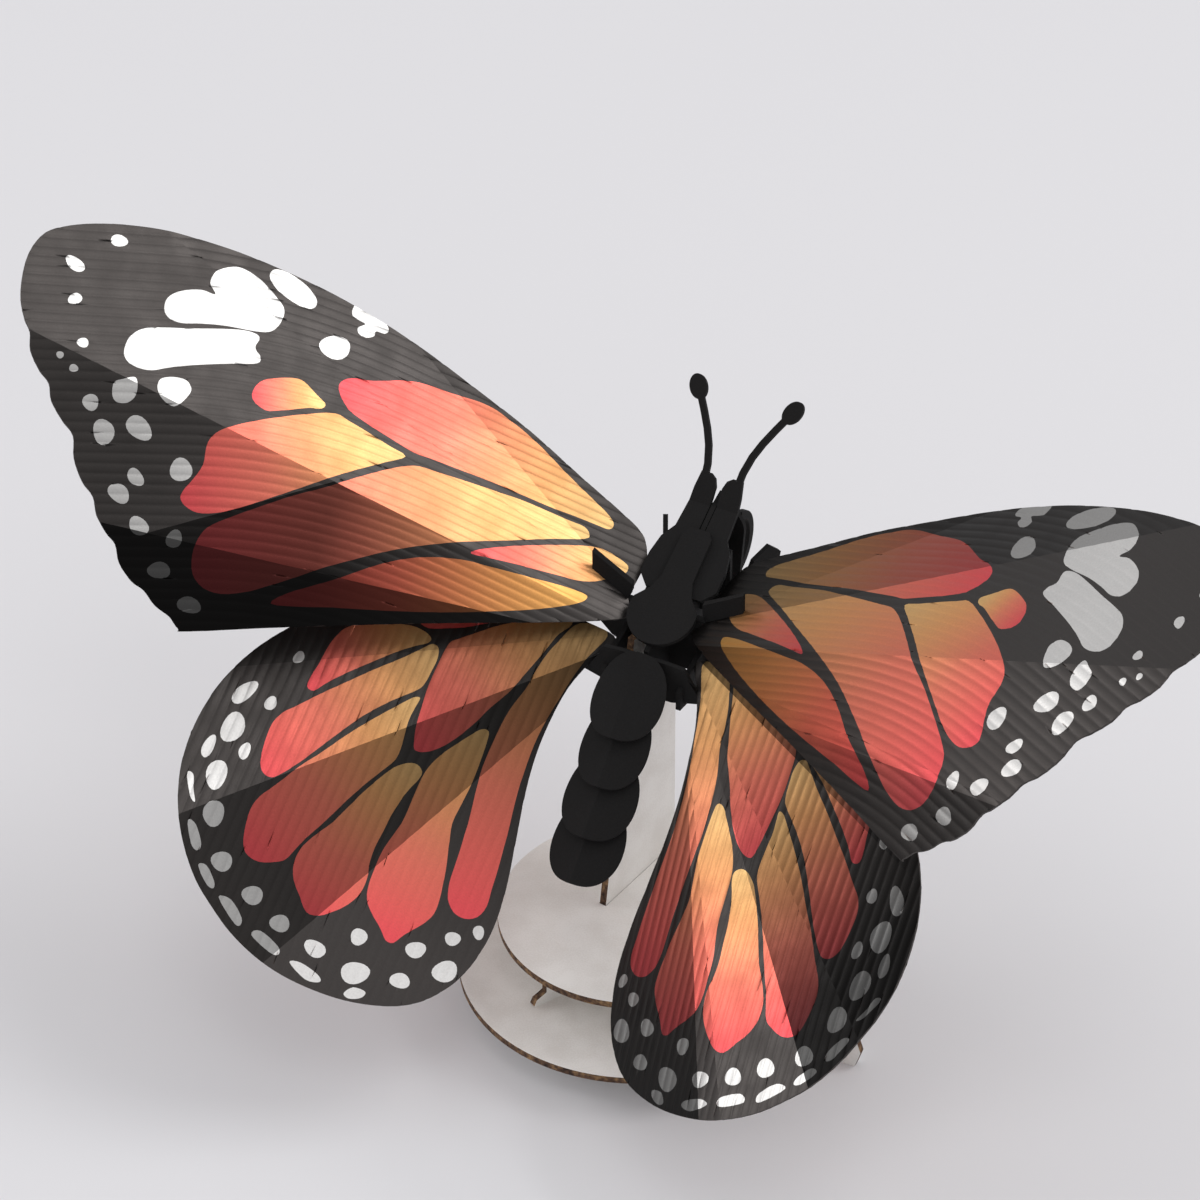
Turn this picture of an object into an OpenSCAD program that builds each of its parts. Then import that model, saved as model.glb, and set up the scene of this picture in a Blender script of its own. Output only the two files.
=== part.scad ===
// Folded card butterfly on a two tier card stand.
// Millimetres, +X to the butterfly's right, +Y to its head, +Z up, floor at z = 0.

/* [Card] */
// thickness of one printed wing sheet
wing_t = 0.5; // [0.3:0.05:0.8]
// thickness of one black body plate
card_t = 1.0; // [0.6:0.1:1.5]
// thickness of the white board of the stand
board_t = 1.5; // [1:0.1:2.5]
// width of a slot beyond the plate that it takes
slot_gap = 0.2; // [0.1:0.05:0.4]

/* [Stand] */
// diameter of the lower disc
lower_disc_d = 72; // [60:1:90]
// diameter of the upper disc
upper_disc_d = 56; // [44:1:66]
// height of the foot boards below the lower disc
foot_h = 8; // [6:0.5:12]
// height of the legs between the two discs
leg_h = 11; // [8:0.5:16]
// overall width of the foot board that reaches past the lower disc
foot_span = 100; // [90:1:120]
// overall length of the foot board that stays under the lower disc
foot_len = 44; // [36:1:50]
// radius at which the outer edges of the upper legs stand
leg_r = 22.7; // [20:0.5:25]
// width of one upper leg, along its radius
leg_w = 5.5; // [4:0.5:8]
// length of the toe at the end of a leg or foot board
toe_l = 3; // [2:0.5:5]
// thickness of the toe at its tip
toe_t = 1.6; // [1:0.2:3]
// width of the upright board where it leaves the upper disc
upright_w = 24; // [18:1:30]
// height of the upright board above the upper disc
upright_h = 61.5; // [55:0.5:70]
// lean of the tail side edge of the upright, degrees from vertical
upright_lean = 9; // [0:1:14]
// turn of the upright away from the butterfly's middle plane, degrees
upright_turn = 8.9; // [0:0.1:12]
// width of the tab that holds the upright in the lower disc
upright_tab_w = 12; // [6:1:16]

/* [Forewing] */
// fold at the long middle crease of a forewing, degrees
fore_fold_mid = 11.1; // [0:0.1:20]
// fold at the crease near the hind margin of a forewing, degrees
fore_fold_hind = 12.7; // [0:0.1:20]
// fold at the crease that runs to the front margin, degrees
fore_fold_front = 3; // [0:0.1:10]
// fold of the root facet of a forewing, degrees
fore_fold_root = 6; // [0:0.1:12]

/* [Hindwing] */
// fold at the crease across the middle of a hindwing, degrees
hind_fold_mid = 7.6; // [0:0.1:15]
// fold at the crease to the tail side of a hindwing, degrees
hind_fold_tail = 9.1; // [0:0.1:15]
// fold at the crease along the front of a hindwing, degrees
hind_fold_front = 2; // [0:0.1:8]

/* [Body] */
// pitch of the thorax plates, degrees above level
thorax_pitch = 27; // [20:1:35]
// width of the round tail end of the thorax plate
thorax_w = 14; // [10:0.5:16]
// length of the thorax plate
thorax_l = 26; // [22:0.5:34]
// half width of the cheek plates beside the thorax plate
cheek_w = 8.2; // [7:0.1:9]
// fold between a cheek plate and its antenna, degrees
antenna_fold = 23; // [10:1:35]
// width of an antenna stem
stem_w = 1.3; // [1:0.1:2]
// length of the club at the tip of an antenna
club_l = 5.2; // [4:0.2:7]
// width of the club at the tip of an antenna
club_w = 3.6; // [2.5:0.1:5]
// distance from the middle plane to the side plates
side_x = 8.2; // [7:0.1:10]
// width of the proboscis strip
proboscis_w = 1.6; // [1:0.1:2.5]

/* [Abdomen] */
// half width of the first abdomen segment
segment_w = 7.9; // [6:0.1:10]
// length of one abdomen segment
segment_l = 15; // [12:0.5:18]
// slope of each segment plate, degrees below level
segment_slope = 40; // [30:1:50]
// droop of each half of a segment beside its middle fold, degrees
segment_droop = 18; // [5:1:30]

/* [Hidden] */
$fn = 64;
eps = 0.05;
lower_top = foot_h + board_t;
upper_bottom = lower_top + leg_h;
upper_top = upper_bottom + board_t;
leg_turns = [62, 118, 242, 298];
upright_at = [-6.8, -1.7];
upright_top = upper_top + upright_h;
// height of the body's own zero: the upright carries the body by its top
upright_seat = 61.5;
body_z = upright_top - upright_seat;
halving_z = body_z + 56;
collar_z = body_z + 62;

// wing roots, measured from the body's own zero
fore_at = [8.4, 7.9, body_z + 65.1];
fore_turn = [32.2, -12.4, -44.6];
hind_at = [8.6, 7.8, body_z + 60.2];
hind_turn = [46.8, -4, -27.5];

// creases: a point on the line and its direction in the flat sheet
fore_mid = [64, 35.5, 29.5];
fore_hind = [60, 12.3, 15.8];
fore_front = [60, 63.5, 43.5];
fore_root = [18.1, 37.7, 56.9];
hind_mid = [43.7, -20.5, -23.3];
hind_tail = [52.8, -53.5, -43];
hind_front = [59.8, -6.4, -7.1];

fore_outline = [
    [0, 0], [-3, 4.5], [-7.5, 11], [-8.5, 14], [-8, 18], [-4, 23], [2.5, 30], [11.5, 40],
    [21, 49], [31.5, 58.5], [41, 65.5], [50, 71], [58, 75], [66, 78.5], [76, 81.8],
    [83, 83.4], [91, 84.2], [98, 84], [103.5, 82.8], [106.5, 80.6], [108.8, 77.2],
    [110.4, 72.6], [111.2, 68], [110.9, 63.8], [110.2, 61.2], [110.4, 57.6], [109, 53.6],
    [107.4, 51], [107.2, 47.6], [105.4, 43.6], [103.6, 40.6], [103.8, 36.2], [102.6, 31.6],
    [100.8, 28.6], [100.4, 25], [98.9, 21.6], [97.2, 19.2], [96.6, 15.6], [94.4, 12],
    [92.2, 10.2], [90.2, 7.2], [87.6, 5], [86, 2.6], [84, 2],
    [64, 1.8], [40, 1.2]
];
hind_outline = [
    [0, 0], [4, -3.8], [9, -10], [13.2, -19], [15.8, -28], [17.4, -38], [18.8, -47.6],
    [20.6, -55.4], [23.4, -61.8], [27.6, -67.4], [33, -71.2], [38, -72.8], [43.4, -73],
    [49.6, -72.2], [55.8, -70.4], [61.9, -67.8], [67.3, -64.4], [72.2, -60], [76, -55.2],
    [79.4, -50], [82, -43.4], [83.4, -36.4], [83.4, -29], [81.8, -21.8], [78.8, -15],
    [74.8, -9.2], [69, -3.6], [61, 1.5], [51, 5.6], [39, 7.6], [25, 7.4], [12, 5.2], [4, 2.6]
];

// spars: planes across the body that carry the wings
fore_spar_y = 13.3;
hind_spar_y = 3;
collar_y = 27;
head_y = 38;
keel_cuts = [
    [fore_spar_y, halving_z], [hind_spar_y, halving_z], [collar_y, collar_z], [head_y, collar_z]
];
fore_tab = [7.6, 16.2];
fore_tab_h = 3.6;

// thorax frame: origin under the round tail end of the thorax plate
thorax_at = [0, 4.5, body_z + 64.4];
cheek_drop = card_t + 0.1;
cheek_fold_u = 32;

// abdomen: middles of the segment plates
segment_mid = [[-5.6, 58.2], [-11.3, 50.2], [-17.6, 42.2], [-23.4, 34.4]];
segment_taper = [1, 0.98, 0.95, 0.9];

// half of the flat sheet on one side of a crease, with a sliver of overlap
module beside(crease, side, over = 0.06) {
    translate([crease[0], crease[1]])
        rotate(crease[2])
            translate([-200, side > 0 ? -over : over - 300])
                square([400, 300]);
}

module fold(crease, angle) {
    translate([crease[0], crease[1], 0])
        rotate([0, 0, crease[2]])
            rotate([angle, 0, 0])
                rotate([0, 0, -crease[2]])
                    translate([-crease[0], -crease[1], 0])
                        children();
}

module sheet(low, high) {
    translate([0, 0, low]) linear_extrude(high - low) children();
}

module fore_facets(low, high, outline) {
    sheet(low, high) intersection() {
        polygon(outline);
        beside(fore_front, -1);
        beside(fore_mid, 1);
    }
    fold(fore_front, -fore_fold_front) {
        sheet(low, high) intersection() {
            polygon(outline);
            beside(fore_front, 1);
            beside(fore_root, -1);
        }
        fold(fore_root, fore_fold_root)
            sheet(low, high) intersection() {
                polygon(outline);
                beside(fore_front, 1);
                beside(fore_root, 1);
            }
    }
    fold(fore_mid, fore_fold_mid) {
        sheet(low, high) intersection() {
            polygon(outline);
            beside(fore_mid, -1);
            beside(fore_hind, 1);
        }
        fold(fore_hind, fore_fold_hind)
            sheet(low, high) intersection() {
                polygon(outline);
                beside(fore_mid, -1);
                beside(fore_hind, -1);
            }
    }
}

module hind_facets(low, high, outline) {
    sheet(low, high) intersection() {
        polygon(outline);
        beside(hind_mid, -1);
        beside(hind_tail, 1);
    }
    fold(hind_mid, -hind_fold_mid) {
        sheet(low, high) intersection() {
            polygon(outline);
            beside(hind_mid, 1);
            beside(hind_front, -1);
        }
        fold(hind_front, hind_fold_front)
            sheet(low, high) intersection() {
                polygon(outline);
                beside(hind_mid, 1);
                beside(hind_front, 1);
            }
    }
    fold(hind_tail, hind_fold_tail)
        sheet(low, high) intersection() {
            polygon(outline);
            beside(hind_tail, -1);
        }
}

module on_fore() {
    translate(fore_at) rotate(fore_turn) children();
}

module on_hind() {
    translate(hind_at) rotate(hind_turn) children();
}

// a plate that stands across the body at one y
module across(y, t) {
    translate([0, y + t / 2, 0]) rotate([90, 0, 0]) linear_extrude(t) children();
}

// a plate that stands along the body at one x
module along(x, t) {
    translate([x - t / 2, 0, 0]) rotate([90, 0, 90]) linear_extrude(t) children();
}

module on_thorax() {
    translate(thorax_at) rotate([thorax_pitch, 0, 0]) children();
}

module fore_tab_box(grow) {
    for (side = [-1, 1])
        translate([side * (fore_tab[0] + fore_tab[1]) / 2, fore_spar_y, fore_at[2] + 4.2])
            cube([fore_tab[1] - fore_tab[0] + grow, card_t + grow, 20], center = true);
}

module forewing() {
    difference() {
        on_fore() fore_facets(-wing_t / 2, wing_t / 2, fore_outline);
        fore_tab_box(slot_gap);
    }
}

module hindwing() {
    on_hind() hind_facets(-wing_t / 2, wing_t / 2, hind_outline);
}

module both_sides() {
    children();
    mirror([1, 0, 0]) children();
}

// the space above a wing's underside, down to the gap below it
module over_forewings() {
    both_sides() on_fore() fore_facets(-wing_t / 2 - slot_gap / 2, 30, fore_outline);
}

module over_hindwings() {
    both_sides() on_hind() hind_facets(-wing_t / 2 - slot_gap / 2, 30, hind_outline);
}

module over_thorax() {
    on_thorax() translate([-cheek_w - 1, -12, -cheek_drop - card_t / 2 - slot_gap / 2])
        cube([2 * cheek_w + 2, 60, 30]);
}

module forewing_right() color("#2a2422") forewing();
module forewing_left() color("#2a2422") mirror([1, 0, 0]) forewing();
module hindwing_right() color("#7a2c22") hindwing();
module hindwing_left() color("#7a2c22") mirror([1, 0, 0]) hindwing();

// the upright board's own frame: u along its width, v up
module on_upright() {
    translate([upright_at[0], upright_at[1], 0])
        rotate([0, 0, 90 - upright_turn])
            rotate([90, 0, 0])
                translate([0, 0, -board_t / 2])
                    linear_extrude(board_t) children();
}

module upright_slot(w, low, high) {
    translate([upright_at[0], upright_at[1], low])
        rotate([0, 0, 90 - upright_turn])
            translate([-slot_gap / 2, -(board_t + slot_gap) / 2, 0])
                cube([w + slot_gap, board_t + slot_gap, high - low]);
}

module upright_board() {
    color("#e6e4e0") difference() {
        on_upright() {
            polygon([
                [0, lower_top],
                [upright_w, lower_top],
                [upright_w, upright_top],
                [upright_h * tan(upright_lean), upright_top],
                [0, upper_top]
            ]);
            translate([(upright_w - upright_tab_w) / 2, foot_h])
                square([upright_tab_w, board_t + eps]);
        }
        translate([-20, fore_spar_y - (card_t + slot_gap) / 2, halving_z])
            cube([40, card_t + slot_gap, 40]);
    }
}

module upper_disc() {
    color("#f0eeea") difference() {
        translate([0, 0, upper_bottom]) cylinder(h = board_t, d = upper_disc_d, $fn = 128);
        upright_slot(upright_w, upper_bottom - 1, upper_top + 1);
    }
}

module lower_disc() {
    color("#f0eeea") difference() {
        translate([0, 0, foot_h]) cylinder(h = board_t, d = lower_disc_d, $fn = 128);
        lower_tab_slot();
    }
}

module lower_tab_slot() {
    translate([upright_at[0], upright_at[1], foot_h - 1])
        rotate([0, 0, 90 - upright_turn])
            translate([(upright_w - upright_tab_w - slot_gap) / 2, -(board_t + slot_gap) / 2, 0])
                cube([upright_tab_w + slot_gap, board_t + slot_gap, board_t + 2]);
}

module upper_leg(turn) {
    color("#dedbd4") rotate([0, 0, turn])
        translate([0, board_t / 2, 0]) rotate([90, 0, 0]) linear_extrude(board_t)
            polygon([
                [leg_r - leg_w, lower_top],
                [leg_r + toe_l - 0.4, lower_top],
                [leg_r + toe_l, lower_top + 0.4],
                [leg_r + toe_l - 0.6, lower_top + toe_t],
                [leg_r, lower_top + toe_t + 1],
                [leg_r, upper_bottom],
                [leg_r - leg_w, upper_bottom]
            ]);
}

module leg_front_right() upper_leg(leg_turns[0]);
module leg_front_left() upper_leg(leg_turns[1]);
module leg_tail_left() upper_leg(leg_turns[2]);
module leg_tail_right() upper_leg(leg_turns[3]);

// one foot board: feet at both ends and in the middle, arches between them
module foot_profile(span) {
    difference() {
        polygon([
            [-span / 2 + 1.4, foot_h],
            [-span / 2, foot_h / 2],
            [-span / 2 + 1.2, 0],
            [span / 2 - 1.2, 0],
            [span / 2, foot_h / 2],
            [span / 2 - 1.4, foot_h]
        ]);
        for (side = [-1, 1])
            translate([side * span / 4, 0])
                polygon([
                    [-span / 4 + 9, -1],
                    [span / 4 - 2 * toe_l, -1],
                    [span / 4 - 2 * toe_l, toe_t - 1],
                    [span / 4 - 2 * toe_l - 2, toe_t + 1],
                    [-span / 4 + 11, toe_t + 1],
                    [-span / 4 + 9, toe_t - 1]
                ]);
    }
}

module cross_foot() {
    color("#dedbd4") difference() {
        across(0, board_t) foot_profile(foot_span);
        translate([-(board_t + slot_gap) / 2, -board_t, foot_h / 2])
            cube([board_t + slot_gap, 2 * board_t, foot_h]);
    }
}

module long_foot() {
    color("#dedbd4") difference() {
        along(0, board_t) foot_profile(foot_len);
        translate([-board_t, -(board_t + slot_gap) / 2, -foot_h / 2])
            cube([2 * board_t, board_t + slot_gap, foot_h]);
    }
}

// thorax plate: round tail end, waist and a strip to the head
module thorax_plate() {
    color("#1c1b1b") on_thorax() sheet(-card_t / 2, card_t / 2)
        polygon(concat(
            [for (i = [0:24]) thorax_w / 2 * [cos(165 + 8.75 * i), 1 + sin(165 + 8.75 * i)]],
            [
                [4.4, 11.5], [3.3, 14.5], [3.1, thorax_l - 1.6], [2, thorax_l],
                [-2, thorax_l], [-3.1, thorax_l - 1.6], [-3.3, 14.5], [-4.4, 11.5]
            ]
        ));
}

module cheek_flat() {
    polygon([
        [0.7, 12], [6, 12], [cheek_w, 14.5], [cheek_w, 19], [7.4, 23], [5.6, 26],
        [5.2, cheek_fold_u + eps], [0.7, cheek_fold_u + eps]
    ]);
}

// antenna centre line in the folded up part: distance from the fold and offset
stem_line = [[3.5, 4.5], [3.8, 8], [4.7, 11.5], [6, 14.6], [7.7, 17.8], [9.2, 20.4], [10.2, 22]];

stem_count = len(stem_line);
function oval(a, b) = [for (i = [0:39]) [a * cos(9 * i), b * sin(9 * i)]];
function stem_step(i) =
    stem_line[min(i + 1, stem_count - 1)] - stem_line[max(i - 1, 0)];
function stem_side(i, w) = stem_line[i] + w * [stem_step(i)[1], -stem_step(i)[0]] / norm(stem_step(i));

module antenna_flat() {
    union() {
        polygon([
            [0.7, -eps], [5.2, -eps], [5, 3], [4.4, 6.4], [2.4, 6.4], [1.3, 5.6], [0.7, 4]
        ]);
        polygon(concat(
            [for (i = [0:stem_count - 1]) stem_side(i, stem_w / 2)],
            [for (i = [stem_count - 1:-1:0]) stem_side(i, -stem_w / 2)]
        ));
        translate(stem_line[stem_count - 1]) rotate(-28) polygon(oval(club_w / 2, club_l / 2));
    }
}

module antenna_plate() {
    on_thorax() translate([0, 0, -cheek_drop]) {
        sheet(-card_t / 2, card_t / 2) cheek_flat();
        translate([0, cheek_fold_u, 0]) rotate([antenna_fold, 0, 0])
            sheet(-card_t / 2, card_t / 2) antenna_flat();
    }
}

module antenna_plate_right() color("#201f1f") antenna_plate();
module antenna_plate_left() color("#201f1f") mirror([1, 0, 0]) antenna_plate();

// keel: middle plate from the head to the tail, stepped under the abdomen
function seg_dir() = [-cos(segment_slope), -sin(segment_slope)];
function seg_nrm() = [-sin(segment_slope), cos(segment_slope)];
function seg_pt(m, s, d) = [
    m[0] + s * seg_dir()[0] + d * seg_nrm()[0],
    body_z + m[1] + s * seg_dir()[1] + d * seg_nrm()[1]
];
seat = -card_t / 2 - tan(segment_droop) * card_t / 2 - 0.15;
last = len(segment_mid) - 1;
function seg_front(i) = i == 0 ? -5 : -segment_l / 2 * segment_taper[i] - 0.4;
function seg_rear(i) =
    i == last
        ? 5.5
        : (segment_mid[i + 1] - segment_mid[i]) * seg_dir() + seg_front(i + 1) - 0.2;
keel_steps = [
    for (i = [0:last], s = [seg_front(i), seg_rear(i)]) seg_pt(segment_mid[i], s, seat)
];
function thorax_pt(u, w) = [
    thorax_at[1] + u * cos(thorax_pitch) - w * sin(thorax_pitch),
    thorax_at[2] + u * sin(thorax_pitch) + w * cos(thorax_pitch)
];

module keel_profile() {
    polygon(concat(
        [thorax_pt(36.5, -1.6), thorax_pt(cheek_fold_u, -0.7), thorax_pt(1.5, -0.7)],
        keel_steps,
        [
            [-25.5, body_z + 29], [-19, body_z + 30.5], [-12, body_z + 37],
            [-5, body_z + 45], [3, body_z + 51], [12, body_z + 51.5],
            [24, body_z + 50.5], [34, body_z + 50.5], [41, body_z + 51],
            [44.4, body_z + 53], [45.6, body_z + 57], [45.6, body_z + 67],
            [44, body_z + 73], [41, body_z + 77.5]
        ]
    ));
}

module keel_plate() {
    color("#181717") difference() {
        along(0, card_t) keel_profile();
        for (cut = keel_cuts)
            translate([-card_t, cut[0] - (card_t + slot_gap) / 2, cut[1]])
                cube([2 * card_t, card_t + slot_gap, 60]);
    }
}

module keel_slot(top) {
    translate([-(card_t + slot_gap) / 2, -60, 0])
        cube([card_t + slot_gap, 120, top]);
}

module side_plate() {
    difference() {
        along(side_x, card_t) polygon([
            [1, body_z + 53.5], [8, body_z + 52.5], [20, body_z + 54], [25, body_z + 59],
            [25, body_z + 65], [16, body_z + 62], [6, body_z + 60], [1, body_z + 57.5]
        ]);
        for (y = [fore_spar_y, hind_spar_y])
            translate([side_x - card_t, y - (card_t + slot_gap) / 2, halving_z])
                cube([2 * card_t, card_t + slot_gap, 40]);
        over_forewings();
        over_hindwings();
    }
}

module side_plate_right() color("#151414") side_plate();
module side_plate_left() color("#151414") mirror([1, 0, 0]) side_plate();

module side_slots() {
    both_sides()
        translate([side_x - (card_t + slot_gap) / 2, -60, 0])
            cube([card_t + slot_gap, 120, halving_z]);
}

module fore_spar() {
    color("#121111") {
        difference() {
            across(fore_spar_y, card_t) polygon([
                [-18, body_z + 63], [-12, body_z + 57], [-6, body_z + 54],
                [6, body_z + 54], [12, body_z + 57], [18, body_z + 63],
                [18, body_z + 80], [6.8, body_z + 70], [-6.8, body_z + 70],
                [-18, body_z + 80]
            ]);
            over_forewings();
            over_thorax();
            keel_slot(halving_z);
            side_slots();
            upright_slot(upright_w, 0, halving_z);
        }
        fore_tabs();
    }
}

module fore_tabs() {
    intersection() {
        fore_tab_box(0);
        both_sides() on_fore() fore_facets(-wing_t / 2 - 1, wing_t / 2 + fore_tab_h, fore_outline);
    }
}

module hind_spar() {
    color("#121111") difference() {
        across(hind_spar_y, card_t) polygon([
            [-18, body_z + 59], [-13, body_z + 55.5], [-6, body_z + 53.5],
            [6, body_z + 53.5], [13, body_z + 55.5], [18, body_z + 59],
            [18, body_z + 64], [12, body_z + 62], [5, body_z + 62.5],
            [-5, body_z + 62.5], [-12, body_z + 62], [-18, body_z + 64]
        ]);
        over_hindwings();
        keel_slot(halving_z);
        side_slots();
    }
}

module collar_plate() {
    color("#171616") difference() {
        across(collar_y, card_t) polygon([
            [-7, body_z + 66], [-4.5, body_z + 58], [4.5, body_z + 58],
            [7, body_z + 66], [7, body_z + 74], [-7, body_z + 74]
        ]);
        over_thorax();
        keel_slot(collar_z);
    }
}

module head_plate() {
    color("#1a1919") difference() {
        across(head_y, card_t) {
            translate([0, body_z + 71]) circle(r = 4.8);
            polygon([
                [-4.8, body_z + 71], [-4, body_z + 60], [-2.5, body_z + 55],
                [2.5, body_z + 55], [4, body_z + 60], [4.8, body_z + 71]
            ]);
        }
        on_thorax() translate([-10, -12, -cheek_drop - card_t / 2 - slot_gap / 2])
            cube([20, 80, 30]);
        keel_slot(collar_z);
    }
}

// shoulder plates: short spread arms in front of the wing roots
shoulder_turn = 64;
module shoulder() {
    translate([7, collar_y + card_t / 2 + 0.1, 0])
        rotate([0, 0, shoulder_turn])
            rotate([90, 0, 0])
                linear_extrude(card_t)
                    polygon([
                        [0, body_z + 62], [6, body_z + 63.5], [10.6, body_z + 65.5],
                        [11.4, body_z + 69], [8.6, body_z + 71.6], [4.6, body_z + 69.6],
                        [3.6, body_z + 67.5], [0, body_z + 67]
                    ]);
}

module shoulder_right() color("#1b1a1a") shoulder();
module shoulder_left() color("#1b1a1a") mirror([1, 0, 0]) shoulder();

module proboscis() {
    color("#161515") along(0, card_t) difference() {
        translate([43.8, body_z + 61.5]) circle(r = 7.6);
        translate([43.4, body_z + 61.5]) circle(r = 7.6 - proboscis_w + 0.2);
        translate([30, body_z + 50]) square([15.7, 30]);
    }
}

// abdomen segments: rounded plates folded along the middle
module segment_half(k, droop) {
    rotate([0, droop, 0])
        sheet(-card_t / 2, card_t / 2)
            intersection() {
                polygon(oval(k * segment_w, k * segment_l / 2));
                translate([-0.03, -20]) square([40, 40]);
            }
}

module segment(i) {
    m = segment_mid[i];
    translate([0, m[0], body_z + m[1]])
        rotate([segment_slope, 0, 0]) {
            segment_half(segment_taper[i], segment_droop);
            mirror([1, 0, 0]) segment_half(segment_taper[i], segment_droop);
        }
}

module abdomen_1() color("#1a1919") segment(0);
module abdomen_2() color("#191818") segment(1);
module abdomen_3() color("#181717") segment(2);
module abdomen_4() color("#171616") segment(3);

forewing_right();
forewing_left();
hindwing_right();
hindwing_left();
keel_plate();
thorax_plate();
side_plate_right();
side_plate_left();
fore_spar();
hind_spar();
collar_plate();
head_plate();
antenna_plate_right();
antenna_plate_left();
shoulder_right();
shoulder_left();
proboscis();
abdomen_1();
abdomen_2();
abdomen_3();
abdomen_4();
upright_board();
upper_disc();
lower_disc();
leg_front_right();
leg_front_left();
leg_tail_left();
leg_tail_right();
cross_foot();
long_foot();
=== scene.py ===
"""Looks of a folded card butterfly on a two tier card stand.

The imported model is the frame. The four wings are rebuilt here as folded, ribbed sheets with
their printed pattern, the abdomen plates are drawn fuller, and the rest of the body and the
stand keep their solids and get card materials.
Lengths in the tables are millimetres in the flat sheet of a right wing: x runs outward from
the root and y toward the front margin.
"""

import logging
from dataclasses import dataclass
from enum import Enum
from math import cos, pi, radians, sin, tan
from typing import Dict, List, Optional, Sequence, Tuple

import bpy
import numpy as np
from bpy.types import ID, Material, Mesh, Node, NodeSocket, NodeTree, Object
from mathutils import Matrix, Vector
from mathutils.geometry import delaunay_2d_cdt


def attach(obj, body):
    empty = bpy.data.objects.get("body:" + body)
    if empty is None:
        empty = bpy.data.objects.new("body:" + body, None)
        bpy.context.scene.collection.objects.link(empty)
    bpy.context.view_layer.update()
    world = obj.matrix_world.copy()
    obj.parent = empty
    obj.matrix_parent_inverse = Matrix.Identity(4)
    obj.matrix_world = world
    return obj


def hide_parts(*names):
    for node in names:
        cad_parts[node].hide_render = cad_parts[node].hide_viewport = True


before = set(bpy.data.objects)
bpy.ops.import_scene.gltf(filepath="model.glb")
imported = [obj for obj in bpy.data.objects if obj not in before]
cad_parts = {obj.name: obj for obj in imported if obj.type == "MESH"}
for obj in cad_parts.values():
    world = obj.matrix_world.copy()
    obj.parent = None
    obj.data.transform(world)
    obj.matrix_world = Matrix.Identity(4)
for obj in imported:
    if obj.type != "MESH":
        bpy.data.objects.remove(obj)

logging.basicConfig(level=logging.INFO, format="%(name)s: %(message)s")
LOG = logging.getLogger("butterfly")

MM = 0.001
UPPER_TOP = 22.0

# Sizes in millimetres of the clouding of a card and of the scorch streaks, and the spans over
# which the noise patterns are read
CLOUD_MM = 6.0
STREAK_MM = 1.1
NOISE_SPAN = {"From Min": 0.3, "From Max": 0.7}
BLEND_LOW, BLEND_HIGH = 0.8, 1.2
INK_DARKEST, INK_LIGHTEST = 0.93, 1.05
FACE_COSINE = 0.7

# Numbers of the two colour inputs and of the colour output of a Mix node
MIX_A, MIX_B, MIX_OUT = 6, 7, 2

# Places of the four ink stops, from the outer end of a cell to its inner end
STOP_PLACES = (0.0, 0.4, 0.75, 1.0)

Array = np.ndarray
Point = Tuple[float, float]
Triple = Tuple[float, float, float]
Crease = Triple
Limits = Tuple[Tuple[Crease, int], ...]


class Side(Enum):
    """Side of the butterfly, with the factor for x."""

    RIGHT = 1
    LEFT = -1


# Colour helpers

def linear(code: str) -> Tuple[float, float, float, float]:
    """Turns an sRGB hex code into scene linear colour.

    Args:
        code: six hex digits, with or without a leading mark.

    Returns:
        Red, green, blue and an alpha of one.
    """
    digits = code.lstrip("#")
    parts = [int(digits[i:i + 2], 16) / 255 for i in (0, 2, 4)]
    low = [c / 12.92 if c <= 0.04045 else ((c + 0.055) / 1.055) ** 2.4 for c in parts]
    return (low[0], low[1], low[2], 1.0)


# Materials

@dataclass(frozen=True)
class CardFinish:
    """Base of every card material: a pressed sheet of paper fibre with a finish on top.

    Real fibres are some hundredths of a millimetre wide, too fine to show, so they are drawn as
    coarse as fibre_mm says.
    """

    name: str = "card"
    colour: str = "888888"
    mottle: str = "808080"
    roughness: float = 0.6
    rough_spread: float = 0.06
    specular: float = 0.5
    metallic: float = 0.0
    fibre_mm: float = 0.35
    fibre_height_mm: float = 0.01


@dataclass(frozen=True)
class BlackInkOnCard(CardFinish):
    """Pearl coated card with a solid black offset ink, satin from the coat below."""

    name: str = "black_ink_on_pearl_card"
    colour: str = "4c4846"
    roughness: float = 0.36
    metallic: float = 0.8
    specular: float = 0.2


@dataclass(frozen=True)
class ColourInkOnCard(CardFinish):
    """Pearl coated card with transparent colour inks, which let the coat shine through."""

    name: str = "colour_ink_on_pearl_card"
    roughness: float = 0.36
    metallic: float = 0.6
    specular: float = 0.15


@dataclass(frozen=True)
class BarePearlCard(CardFinish):
    """Pearl coated card left without ink, for the white spots."""

    name: str = "bare_pearl_card"
    colour: str = "f1efec"
    roughness: float = 0.36
    metallic: float = 0.6
    specular: float = 0.4


@dataclass(frozen=True)
class SheetEdge(CardFinish):
    """Cut edge of the printed sheet, inked dark by the cut."""

    name: str = "wing_cut_edge"
    colour: str = "4a4542"
    mottle: str = "2c2826"
    roughness: float = 0.8


@dataclass(frozen=True)
class BlackCard(CardFinish):
    """Solid black dyed card, matt, cut by laser so that its edges stay black."""

    name: str = "black_dyed_card"
    colour: str = "191818"
    mottle: str = "131212"
    roughness: float = 0.85
    specular: float = 0.2
    fibre_height_mm: float = 0.02


@dataclass(frozen=True)
class WhiteBoard(CardFinish):
    """Bleached grey board, cut by laser: white faces and brown scorched edges."""

    name: str = "white_board"
    colour: str = "e6e3df"
    mottle: str = "dcd8d3"
    roughness: float = 0.75
    specular: float = 0.35
    fibre_height_mm: float = 0.015
    scorch: str = "5b4230"
    scorch_dark: str = "2c1d14"
    scorch_light: str = "8d6f4c"
    plate_normal: Triple = (0.0, 0.0, 1.0)


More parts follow.
